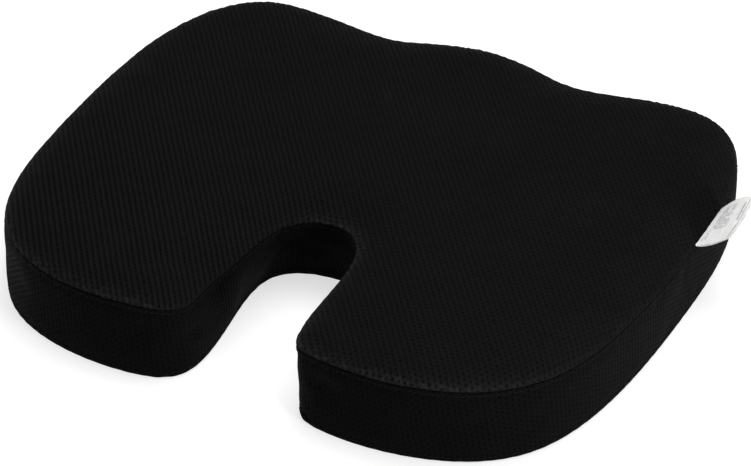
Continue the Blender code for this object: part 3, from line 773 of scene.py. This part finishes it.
def build_band():
    ds = 2.0
    cols = int(LENGTH / ds)
    s = np.linspace(0, LENGTH, cols + 1)
    zs = seam_z(along(TOP, s)[:, 1])
    # rows at the top: distance from the cut edge, inset, drop under the seam
    top_rows = [(0.0, 2.4, 1.9), (0.8, 1.3, 1.45), (1.5, 0.45, 1.55), (2.1, 0.05, 2.05), (2.7, 0.0, 2.65), (3.3, 0.0, 3.25)]
    low_rows = [(0.0, 3.0, 2.4), (1.3, 1.9, 1.6), (2.4, 1.2, 0.75), (3.2, 0.45, 0.40), (4.0, 0.0, 1.05), (4.9, -0.05, 2.0)]
    low_z = 2.0           # the flat layout's height where the lower rows end
    flat, solid, painted_rim_light = [], [], []
    cut_top = zs - 3.25 + 3.3
    for cut, inset, drop in top_rows:
        flat.append(np.column_stack([s, cut_top - cut]))
        rise = 0.35 * slack(s) * (0.5 < cut < 2.5)
        solid.append(band_shape(s, zs - drop + rise, np.full(len(s), inset)))
        # a faint painted highlight on the band's rolled top edge
        painted_rim_light.append(np.full(len(s), 0.3 * np.exp(-((cut - 1.9) / 0.9) ** 2)))
    for cut, inset, z in low_rows:
        flat.append(np.column_stack([s, np.full(len(s), low_z - 4.9 + cut)]))
        solid.append(band_shape(s, np.full(len(s), z), np.full(len(s), inset)))
        # and a faint painted highlight on its rolled lower edge
        painted_rim_light.append(np.full(len(s), 0.3 * np.exp(-((cut - 3.6) / 0.9) ** 2)))
    m = cols + 1
    nt, nl = len(top_rows), len(low_rows)
    # the two ends, between the rows, are turned in where they are joined
    between = np.arange(low_z + 1.7, float(zs[0]) - 3.25 - 1.2, 1.9)
    ends_flat, ends_solid = [], []
    for side_s in (0.0, LENGTH):
        here = np.full(len(between), side_s)
        ends_flat.append(np.column_stack([here, between]))
        ends_solid.append(band_shape(here, between, np.full(len(between), 0.0)))
    inner, holes = lattice([0.9, 2.7], [LENGTH - 0.9, 62.0], turn=BAND_TURN)
    zi = seam_z(along(TOP, inner[:, 0])[:, 1])
    keep = (inner[:, 1] > low_z + 1.1) & (inner[:, 1] < zi - 3.25 - 0.9)
    inner, holes = inner[keep], holes[keep]
    inner3 = band_shape(inner[:, 0], inner[:, 1], np.zeros(len(inner)))
    flat2 = np.concatenate(flat + ends_flat + [inner])
    loop_top = list(range(0, m))                       # left to right on the cut edge
    loop_low = list(range(nt * m, nt * m + m))
    e0 = (nt + nl) * m
    left = list(range(e0, e0 + len(between)))          # bottom to top
    right = list(range(e0 + len(between), e0 + 2 * len(between)))
    left_low = [nt * m + r * m for r in range(1, nl)]
    right_low = [nt * m + r * m + m - 1 for r in range(1, nl)]
    left_top = [r * m for r in range(nt - 1, 0, -1)]
    right_top = [r * m + m - 1 for r in range(nt - 1, 0, -1)]
    loop = (loop_low + right_low + right + right_top + loop_top[::-1]
            + left_top[::-1] + left[::-1] + left_low[::-1])
    tris = fill(flat2, [loop])
    p = np.concatenate(solid + ends_solid + [inner3])
    hole = np.zeros(len(p))
    hole[-len(inner):] = holes
    # evened out, then the join is turned in and the holes are sunk
    fixed = np.zeros(len(p), bool)
    fixed[:e0 + 2 * len(between)] = True
    p = smoothed(p, tris, len(p), 3, fixed)
    sp = flat2[:, 0]
    near = np.minimum(sp, LENGTH - sp)
    normal = np.column_stack([along(NT, sp), np.zeros(len(p))])
    p -= normal * (1.5 * np.exp(-(near / 1.1) ** 2))[:, None]
    tangent = np.column_stack([-normal[:, 1], normal[:, 0]])
    p[:, :2] += tangent * np.where(sp < LENGTH / 2, 0.12, -0.12)[:, None] * np.exp(-(near / 0.8) ** 2)[:, None]
    fade = np.zeros(len(p))
    fade[-len(inner):] = np.clip(near[-len(inner):] / 3 - 0.4, 0, 1)
    depth = 0.5 * (1 + 0.18 * rng.standard_normal(len(p)))
    p -= normal * (hole * depth * fade)[:, None]
    painted_rim_light = np.concatenate(painted_rim_light + [np.zeros(2 * len(between)), np.zeros(len(inner))])
    # inner face
    gi, _ = lattice([4, 4], [LENGTH - 4, 62], 9.0)
    gz = seam_z(along(TOP, gi[:, 0])[:, 1])
    gi = gi[(gi[:, 1] > 6) & (gi[:, 1] < gz - 6)]
    back_flat = np.concatenate([flat2[loop], gi])
    back_tris = fill(back_flat, [list(range(len(loop)))])
    back3 = band_shape(gi[:, 0], gi[:, 1], np.full(len(gi), 3.0))
    lookup = np.concatenate([np.array(loop), len(p) + np.arange(len(gi))])
    faces = [tuple(t) for t in tris] + [tuple(lookup[list(t)][::-1]) for t in back_tris]
    every = np.concatenate([p, back3])
    layout = np.concatenate([flat2, gi]) - BAND_CENTRE
    obj = make("cover_band", every, faces, mat=MESH_BAND,
               attributes={"cloth_u": layout[:, 0], "cloth_v": layout[:, 1],
                           "edge": np.concatenate([painted_rim_light, np.zeros(len(gi))])})
    return outward(obj)


# ---- stitches ------------------------------------------------------------------------------
def stitches(name, path, out, pitch, radius, mat, sides=6, closed=True):
    """A run of separate stitches along a path: each rises out of the cloth and dives back in."""
    path = np.asarray(path, float)
    ring = np.concatenate([path, path[:1]]) if closed else path
    normal = np.concatenate([out, out[:1]]) if closed else out
    step = np.linalg.norm(np.diff(ring, axis=0), axis=1)
    at = np.concatenate([[0], np.cumsum(step)])
    count = int(round(at[-1] / pitch))
    pitch = at[-1] / count
    verts, faces = [], []
    profile = [(-0.44, -0.55, 0.55), (-0.40, -0.15, 0.85), (-0.28, 0.18, 1.0), (0.0, 0.26, 1.05), (0.28, 0.18, 1.0),
               (0.40, -0.15, 0.85), (0.44, -0.55, 0.55)]
    for k in range(count):
        base = len(verts)
        wob, tilt = 0.06 * rng.standard_normal(), 0.05 * rng.standard_normal()
        for t, rise, thick in profile:
            here = (k + 0.5 + t + 0.03 * rng.standard_normal() * 0) * pitch
            here = here % at[-1] if closed else min(max(here, 0), at[-1])
            c = np.array([np.interp(here, at, ring[:, a]) for a in range(3)])
            nrm = np.array([np.interp(here, at, normal[:, a]) for a in range(3)])
            nrm /= np.linalg.norm(nrm)
            ahead = np.array([np.interp(min(here + 0.3, at[-1]), at, ring[:, a]) - np.interp(max(here - 0.3, 0), at, ring[:, a])
                              for a in range(3)])
            ahead /= np.linalg.norm(ahead) + 1e-12
            side = np.cross(ahead, nrm)
            c = c + nrm * rise + side * (wob + tilt * t * 4)
            for q in range(sides):
                a = 2 * math.pi * q / sides
                verts.append(c + radius * thick * (math.cos(a) * nrm + math.sin(a) * side))
        rings = len(profile)
        for r in range(rings - 1):
            for q in range(sides):
                q2 = (q + 1) % sides
                a0, b0 = base + r * sides, base + (r + 1) * sides
                faces.append((a0 + q, a0 + q2, b0 + q2, b0 + q))
        faces.append(tuple(base + q for q in range(sides))[::-1])
        faces.append(tuple(base + (rings - 1) * sides + q for q in range(sides)))
    return outward(make(name, verts, faces, mat=mat))


def seam_stitches():
    n = 1400
    s = np.arange(n) * LENGTH / n
    zs = seam_z(along(TOP, s)[:, 1])
    for name, z, pitch, radius, mat, node in (
            ("top_stitching", zs - STITCH_DROP, STITCH_PITCH, 0.36, THREAD, "top_seam_thread"),
            ("base_stitching", np.full(n, 4.0), STITCH_PITCH, 0.32, THREAD_DARK, "base_seam_thread")):
        path = band_shape(s, z, 0.5 * slack(s) * (node == "top_seam_thread"))
        out = np.column_stack([along(NT, s), np.zeros(n)])
        obj = stitches(name, path, out, pitch, radius, mat)
        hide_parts(node)


# ---- underside ------------------------------------------------------------------------------
ZIP_Y = 60.0


def channel(x, y, rise=3.9, top_half=9.0, foot_half=26.4, full=190.0, end=212.0):
    """How far the underside is lifted over the zip's line."""
    t = np.clip((foot_half - np.abs(y - ZIP_Y)) / (foot_half - top_half), 0, 1)
    e = np.clip((end - np.abs(x)) / (end - full), 0, 1)
    return rise * (t * t * (3 - 2 * t)) * (e * e * (3 - 2 * e))


def base_grid(side):
    """The flat layout of one base panel: its outline, then loose points."""
    n = 900
    s = np.arange(n) * LENGTH / n
    edge = along(BOT, s) - along(NB, s) * (2.0 - foot(s))[:, None]
    near = side * (edge[:, 1] - ZIP_Y) > 0.2
    # the part of the outline on this side of the zip's line, in order
    order = np.arange(n)
    first = int(np.where(near & ~np.roll(near, 1))[0][0])
    order = np.roll(order, -first)
    order = order[near[order]]
    arc = edge[order]
    x0, x1 = arc[-1][0], arc[0][0]
    y_join, y_slot = ZIP_Y + side * 0.15, ZIP_Y + side * 6.0
    direction = 1 if x1 > x0 else -1
    stops = [(x0, y_join), (direction * -180.0, y_join), (direction * -180.0, y_slot),
             (direction * 180.0, y_slot), (direction * 180.0, y_join), (x1, y_join)]
    line = []
    for (ax, ay), (bx, by) in zip(stops, stops[1:]):
        k = max(1, int(math.hypot(bx - ax, by - ay) / 4))
        line += [(ax + (bx - ax) * t / k, ay + (by - ay) * t / k) for t in range(k)]
    line.append(stops[-1])
    return np.concatenate([arc, np.array(line)])


def build_base(name, side, node):
    """A thin base panel and its grip dots."""
    loop = base_grid(side)
    grid, _ = lattice([-226, -206], [226, 206], 5.0, 0.0)
    d, _ = nearest_on_outline(grid, BOT)
    keep = (d > 4.2) & (side * (grid[:, 1] - ZIP_Y) > 3.0)
    keep &= ~((np.abs(grid[:, 0]) < 184) & (side * (grid[:, 1] - ZIP_Y) < 9.0))
    grid = grid[keep]
    flat = np.concatenate([loop, grid])
    tris = fill(flat, [list(range(len(loop)))])
    n = len(flat)

    def height(xy, extra):
        d_edge, _ = nearest_on_outline(xy, BOT)
        quilt = 0.10 * np.sin(xy[:, 0] / 23) * np.sin(xy[:, 1] / 19 + 0.6)
        return channel(xy[:, 0], xy[:, 1]) + 0.5 + extra + quilt * np.clip(d_edge / 20, 0, 1)

    under = np.column_stack([flat, height(flat, 0.0)])
    over = np.column_stack([flat, height(flat, 0.8)])
    ring = np.arange(len(loop))
    faces = [tuple(t)[::-1] for t in tris] + [tuple(n + np.array(t)) for t in tris]
    for k in ring:
        j = (k + 1) % len(loop)
        faces.append((k, j, n + j, n + k))
    obj = outward(make(name, np.concatenate([under, over]), faces, mat=BASE_CLOTH))
    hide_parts(node)
    # grip dots: low domes in a staggered pattern, printed on the cloth
    dots, _ = lattice([-226, -206], [226, 206], 8.0, 0.0)
    d, _ = nearest_on_outline(dots, BOT)
    keep = (d > 9) & (side * (dots[:, 1] - ZIP_Y) > 11.5)
    dots = dots[keep]
    lift = height(dots, 0.0)
    verts, dot_faces = [], []
    for (x, y), z in zip(dots, lift):
        b = len(verts)
        r = 1.45 * (1 + 0.04 * rng.standard_normal())
        for radius, drop in ((r, -0.12), (r * 0.86, 0.36), (r * 0.45, 0.58)):
            for q in range(8):
                a = math.pi * q / 4
                verts.append((x + radius * math.cos(a), y + radius * math.sin(a), max(z - drop, 0.0)))
        for ring_k in range(2):
            for q in range(8):
                q2 = (q + 1) % 8
                a0, b0 = b + 8 * ring_k, b + 8 * (ring_k + 1)
                dot_faces.append((a0 + q, b0 + q, b0 + q2, a0 + q2))
        dot_faces.append(tuple(b + 16 + q for q in range(8))[::-1])
        dot_faces.append(tuple(b + q for q in range(8)))
    grip = outward(make(name.replace("cover_", "") + "_grip_dots", verts, dot_faces, mat=GRIP))
    return obj


# ---- foam and liner ---------------------------------------------------------------------------
def stuffed_body(depth, base, relief, slot=None):
    """A closed body this deep under the cover: (points, faces, slot loop)."""
    n = 240
    s = np.arange(n) * LENGTH / n
    edge, norm = along(TOP, s), along(NT, s)
    zs = seam_z(edge[:, 1])
    grid, _ = lattice([-225, -205], [225, 205], 9.0, 0.3)
    d, sg = nearest_on_outline(grid)
    keep = d > depth + 15
    grid, d, sg = grid[keep], d[keep], sg[keep]
    points, faces = [], []
    rim = [edge - norm * (depth + i) for i in (3.2, 6.5, 11.0)]
    flat = np.concatenate(rim + [grid])
    insets = np.concatenate([np.full(n, depth + i) for i in (3.2, 6.5, 11.0)] + [d])
    ss = np.concatenate([s, s, s, sg])
    tris = fill(flat, [list(range(n))])
    top = top_shape(flat, insets, ss)
    top[:, 2] -= depth + np.concatenate([np.full(n, 1.0), np.full(n, 0.35), np.zeros(n + len(grid))])
    points.append(top)
    faces += [tuple(t) for t in tris]
    last, count = np.arange(n), len(top)
    for drop, inset in ((depth + 2.2, depth + 1.1), (depth + 5.5, depth + 0.2)):
        z = zs - drop + 2.0
        p = np.column_stack([side_xy(s, z, np.full(n, inset)), z]) + band_move(s, z / zs)
        here = np.arange(n) + count
        faces += [(last[k], here[k], here[(k + 1) % n], last[(k + 1) % n]) for k in range(n)]
        points.append(p)
        last, count = here, count + n
    for f in (0.72, 0.5, 0.28):
        z = base + 5 + f * (zs - depth - 8 - base - 5)
        p = np.column_stack([side_xy(s, z, np.full(n, depth)), z]) + band_move(s, z / zs)
        here = np.arange(n) + count
        faces += [(last[k], here[k], here[(k + 1) % n], last[(k + 1) % n]) for k in range(n)]
        points.append(p)
        last, count = here, count + n
    for z, inset in ((base + 4.5, 0.3), (base + 1.6, 1.2), (base + 0.35, 2.8)):
        zz = np.full(n, z)
        p = np.column_stack([side_xy(s, zz, np.full(n, depth + inset)), zz])
        here = np.arange(n) + count
        faces += [(last[k], here[k], here[(k + 1) % n], last[(k + 1) % n]) for k in range(n)]
        points.append(p)
        last, count = here, count + n
    low = np.concatenate(points)[last][:, :2]
    dots, _ = lattice([-225, -205], [225, 205], 8.0, 0.0)
    db, _ = nearest_on_outline(dots, BOT)
    dots = dots[db > depth + 10]
    loops = [list(range(n))]
    extra = np.zeros((0, 2))
    if slot:
        half, thin = slot
        xs = np.linspace(-half, half, 60)
        extra = np.concatenate([np.column_stack([xs, np.full(60, ZIP_Y - thin)]),
                                np.column_stack([xs[::-1], np.full(60, ZIP_Y + thin)])])
        dots = dots[~((np.abs(dots[:, 0]) < half + 3) & (np.abs(dots[:, 1] - ZIP_Y) < thin + 2.5))]
        loops.append([n + k for k in range(len(extra))])
    flat_low = np.concatenate([low, extra, dots])
    tris = fill(flat_low, loops)
    rest = flat_low[n:]
    z = base + relief(rest[:, 0], rest[:, 1])
    points.append(np.column_stack([rest, z]))
    lookup = np.concatenate([last, count + np.arange(len(rest))])
    faces += [tuple(lookup[list(t)][::-1]) for t in tris]
    slot_loop = count + np.arange(len(extra))
    return np.concatenate(points), faces, slot_loop


def build_foam_and_liner():
    def relief(rise):
        return lambda x, y: channel(x, y, rise, 10.0, 36.0, 194.0, 214.0)

    points, faces, _ = stuffed_body(4.6, 2.7, relief(6.9))
    foam = outward(make("foam_block", points, faces, mat=FOAM))
    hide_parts("foam_core")
    outer, f_out, loop_out = stuffed_body(3.5, 1.7, relief(6.9), (140.0, 0.15))
    inner, f_in, loop_in = stuffed_body(4.1, 2.3, relief(6.9), (140.0, 0.15))
    shift = len(outer)
    faces = list(f_out) + [tuple(shift + np.array(f))[::-1] for f in f_in]
    m = len(loop_out)
    for k in range(m):
        j = (k + 1) % m
        faces.append((loop_out[k], loop_out[j], shift + loop_in[j], shift + loop_in[k]))
    liner = outward(make("liner_bag", np.concatenate([outer, inner]), faces, mat=LINER_KNIT))
    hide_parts("foam_liner")
    return foam, liner


# ---- care label ----------------------------------------------------------------------------
def build_label():
    """A satin ribbon folded double, sewn in the right side's top seam and curling up."""
    across, along_n, thick = 26, 30, 0.22
    out, near_rise, far_rise = 22.4, 14.5, 15.8

    def spot(s, t, lift):
        y = 33.4 + 50.2 * t + 0.7 * math.sin(2.6 * s) * (t - 0.5)
        x = 223.0 + (out + 2.1) * s + 0.5 * math.sin(3.0 * t + 1) * s
        near = near_rise * s ** 1.65
        far = far_rise * math.sin(1.5 * min(1.0, s * 1.15))
        ripple = 0.55 * math.sin(7.0 * t + 2.2 * s) * s + 0.3 * math.sin(15 * t + 4 * s) * s * s
        z = seam_z(y) + 0.1 + near + (far - near) * t * t + ripple
        # both layers spread a little behind the fold
        gap = 0.9 * math.sin(math.pi * min(1.0, s)) * (0.5 + 0.5 * math.sin(4 * t + 0.5))
        return (x, y, z + lift + (gap if lift > 0.3 else 0.0))

    # the ribbon's path: out along the lower layer, round the fold, back along the upper one
    path = [(i / across, 0.0) for i in range(across + 1)]
    path += [(1.0 + 0.012, 0.28), (1.0, 0.56)]
    path += [(i / across, 0.56) for i in range(across - 1, -1, -1)]
    verts, us, vs = [], [], []
    for side in (0, 1):
        for k, (s, lift) in enumerate(path):
            for b in range(along_n + 1):
                t = b / along_n
                back = lift + (thick if (side and k <= across) else -thick if (side and k > across + 2) else 0.0)
                pull = -0.01 if (side and across < k <= across + 2) else 0.0
                verts.append(spot(s + pull, t, back))
                us.append(s)
                vs.append(t)
    rows, cols = len(path), along_n + 1
    faces = []
    for side in (0, 1):
        off = side * rows * cols
        for k in range(rows - 1):
            for b in range(along_n):
                a = off + k * cols + b
                quad = (a, a + 1, a + cols + 1, a + cols)
                faces.append(quad if side else quad[::-1])
    rim = ([(k, 0) for k in range(rows - 1)] + [(rows - 1, b) for b in range(along_n)]
           + [(k, along_n) for k in range(rows - 1, 0, -1)] + [(0, b) for b in range(along_n, 0, -1)])
    for (k, b), (k2, b2) in zip(rim, rim[1:] + rim[:1]):
        a, c = k * cols + b, k2 * cols + b2
        faces.append((a, c, rows * cols + c, rows * cols + a))
    obj = outward(make("satin_label", verts, faces, mat=SATIN, attributes={"label_u": us, "label_v": vs}))
    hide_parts("care_label")
    # a line of fine stitches holds the fold flat
    n = 60
    line = np.array([spot(0.86, t, 0.56 + 0.05) for t in np.linspace(0.03, 0.97, n)])
    sew = stitches("label_stitching", line, np.tile([0.0, 0.0, 1.0], (n, 1)), 2.0, 0.13,
                   thread_material("label_thread", 0.22), sides=5, closed=False)
    return obj


# ---- zip -----------------------------------------------------------------------------------
def build_zip():
    # tapes: thin woven strips that follow the channel, with a corded edge by the coil
    for name, side in (("zipper_tape_front", 1), ("zipper_tape_rear", -1)):
        xs = np.linspace(-178, 178, 179)
        ys = np.array([3.3, 3.6, 4.4, 5.5, 7.0, 8.6, 10.5, 12.5, 14.5, 16.5, 18.0])
        verts, faces = [], []
        for layer in (0, 1):
            for x in xs:
                for k, dy in enumerate(ys):
                    z = 1.5 + channel(np.array([min(abs(x), 178.0)]), np.array([ZIP_Y + dy]))[0] + 0.05
                    thick = 0.75 if k < 3 else 0.5
                    wav = 0.04 * math.sin(x / 5.0 + dy)
                    verts.append((x, ZIP_Y + side * dy, z + (thick if layer else 0.0) + wav))
        cols, rows = len(ys), len(xs)
        for layer in (0, 1):
            off = layer * rows * cols
            for r in range(rows - 1):
                for c in range(cols - 1):
                    a = off + r * cols + c
                    quad = (a, a + 1, a + cols + 1, a + cols)
                    faces.append(quad if layer else quad[::-1])
        rim = ([(r, 0) for r in range(rows - 1)] + [(rows - 1, c) for c in range(cols - 1)]
               + [(r, cols - 1) for r in range(rows - 1, 0, -1)] + [(0, c) for c in range(cols - 1, 0, -1)])
        for (r, c), (r2, c2) in zip(rim, rim[1:] + rim[:1]):
            a, b = r * cols + c, r2 * cols + c2
            faces.append((a, b, rows * cols + b, rows * cols + a))
        obj = outward(make(name + "_woven", verts, faces, mat=TAPE))
        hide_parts(name)
    # coils: one flattened spiral of nylon on each side, half a pitch out of step
    pitch, r, sides, per = 1.3, 0.31, 5, 12
    for name, side in (("zipper_coil_front", 1), ("zipper_coil_rear", -1)):
        turns = int(339 / pitch)
        path = []
        for k in range(turns * per + 1):
            a = 2 * math.pi * k / per
            x = -169.6 + pitch * k / per + (pitch / 2 if side < 0 else 0)
            dy = 1.80 + (1.23 - r) * math.cos(a) * (1 - 0.12 * abs(math.sin(a)))
            z = 5.7 + (0.9 - r) * math.sin(a)
            path.append((x, ZIP_Y + side * dy, z))
        path = np.array(path)
        ahead = np.gradient(path, axis=0)
        ahead /= np.linalg.norm(ahead, axis=1, keepdims=True)
        ref = np.cross(ahead, np.array([1.0, 0, 0]))
        ref /= np.linalg.norm(ref, axis=1, keepdims=True)
        other = np.cross(ahead, ref)
        verts, faces = [], []
        for q in range(sides):
            a = 2 * math.pi * q / sides
            verts.append(path + r * (math.cos(a) * ref + math.sin(a) * other))
        verts = np.stack(verts, 1).reshape(-1, 3)
        m = len(path)
        for k in range(m - 1):
            for q in range(sides):
                q2 = (q + 1) % sides
                faces.append((k * sides + q, k * sides + q2, (k + 1) * sides + q2, (k + 1) * sides + q))
        faces.append(tuple(range(sides))[::-1])
        faces.append(tuple((m - 1) * sides + q for q in range(sides)))
        obj = outward(make(name + "_spiral", verts, faces, mat=NYLON))
        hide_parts(name)
    # rows of stitching beside the slot
    for name, side in (("zip_stitch_front", 1), ("zip_stitch_rear", -1)):
        n = 300
        xs = np.linspace(-177, 177, n)
        line = np.column_stack([xs, np.full(n, ZIP_Y + side * 7.6),
                                channel(xs * 0, np.full(n, ZIP_Y + side * 7.6)) + 0.55])
        obj = stitches(name + "_run", line, np.tile([0.0, 0.0, -1.0], (n, 1)), 3.2, 0.28, THREAD_DARK, closed=False)
        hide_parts(name)
    # metal: the CAD pieces keep their shape
    for node in ("zipper_slider", "zipper_pull", "zipper_stop_left", "zipper_stop_right"):
        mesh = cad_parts[node].data
        mesh.materials.clear()
        mesh.materials.append(ENAMEL)


# ---- stage ---------------------------------------------------------------------------------
def build_camera():
    az, el, roll = math.radians(25.1), math.radians(35.0), math.radians(1.01)
    back = Vector((math.sin(az) * math.cos(el), -math.cos(az) * math.cos(el), math.sin(el)))
    right = Vector((math.cos(az), math.sin(az), 0.0))
    up = back.cross(right)
    r2 = right * math.cos(roll) + up * math.sin(roll)
    u2 = up * math.cos(roll) - right * math.sin(roll)
    cam = bpy.data.cameras.new("camera")
    cam.sensor_width = 36.0
    cam.lens = 3236.0 * 36.0 / 751.0
    cam.shift_x = -(373.0 - 375.5) / 751.0
    cam.shift_y = (239.3 - 233.0) / 751.0
    cam.clip_end = 50
    obj = bpy.data.objects.new("camera", cam)
    bpy.context.scene.collection.objects.link(obj)
    eye = Vector((0, 0.008, 0)) + back * 2.229
    from mathutils import Matrix
    m = Matrix(((r2.x, u2.x, back.x, eye.x), (r2.y, u2.y, back.y, eye.y), (r2.z, u2.z, back.z, eye.z), (0, 0, 0, 1)))
    obj.matrix_world = m
    bpy.context.scene.camera = obj


def area_light(name, at, aim, size, power, colour=(1, 1, 1)):
    light = bpy.data.lights.new(name, "AREA")
    light.shape = "RECTANGLE"
    light.size, light.size_y = size
    light.energy = power
    light.color = colour
    obj = bpy.data.objects.new(name, light)
    obj.location = at
    obj.rotation_euler = (Vector(aim) - Vector(at)).to_track_quat("-Z", "Y").to_euler()
    bpy.context.scene.collection.objects.link(obj)


def build_stage():
    n = Nodes("floor_paper", Roughness=0.9, Emission_Strength=0.64)
    n.shader.inputs["Emission Color"].default_value = (1, 1, 1, 1)
    at = n.place()
    tone = n.noise(at, 3.0, 2)
    floor_mat = n.done(n.mix(n.ramp(tone, 0.3, 0.7), (0.44, 0.44, 0.44, 1), (0.46, 0.46, 0.46, 1)),
                       None, n.bump(n.noise(at, 300, 2), 0.05, 0.0002))
    mesh = bpy.data.meshes.new("floor")
    mesh.from_pydata([(-8, -8, -0.0002), (8, -8, -0.0002), (8, 8, -0.0002), (-8, 8, -0.0002)], [], [(0, 1, 2, 3)])
    floor = bpy.data.objects.new("floor", mesh)
    mesh.materials.append(floor_mat)
    bpy.context.scene.collection.objects.link(floor)
    world = bpy.data.worlds.new("studio")
    world.use_nodes = True
    world.node_tree.nodes["Background"].inputs[0].default_value = (1, 1, 1, 1)
    world.node_tree.nodes["Background"].inputs[1].default_value = 0.40
    bpy.context.scene.world = world
    area_light("key", (0.2, 0.45, 2.0), (0, 0, 0), (1.8, 1.4), 35)
    area_light("side", (1.75, -0.8, 0.26), (0.1, 0, 0.02), (0.6, 0.4), 45)
    area_light("left", (-1.8, 0.1, 0.5), (-0.1, 0, 0), (0.8, 0.7), 9)
    bpy.context.scene.view_settings.view_transform = "Standard"


def cut_area(points, low=-np.inf, high=np.inf):
    """Area in square metres of the part of a flat outline that lies between two values of y, in millimetres."""
    base = low if np.isfinite(low) else high if np.isfinite(high) else 0.0
    y = np.clip(points[:, 1], low, high) - base
    run = np.roll(points[:, 0], -1) - points[:, 0]
    return abs(float(np.sum((y + np.roll(y, -1)) / 2 * run))) * 1e-6


def declare_sheets():
    # flat areas come from the cut outlines, and each piece's is printed
    plan = cut_area(TOP)
    side = LENGTH * float(np.mean(seam_z(TOP[:, 1]))) * 1e-6
    for piece, flat, area in ((top_panel, (0.462, 0.418), plan), (band, (LENGTH * MM, 0.058), side),
                              (base_front, (0.460, 0.145), cut_area(TOP, low=ZIP_Y)),
                              (base_rear, (0.460, 0.266), cut_area(TOP, high=ZIP_Y)),
                              (liner, (0.900, 0.480), 2 * plan + side)):
        print("sheet", piece.name, round(area, 5))


build_camera()
top_panel = build_top()
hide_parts("cover_top_panel")
band = build_band()
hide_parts("cover_side_band")
seam_stitches()
base_front = build_base("cover_base_front_cloth", 1, "cover_base_front")
base_rear = build_base("cover_base_rear_cloth", -1, "cover_base_rear")
foam, liner = build_foam_and_liner()
declare_sheets()
build_label()
build_zip()
build_stage()
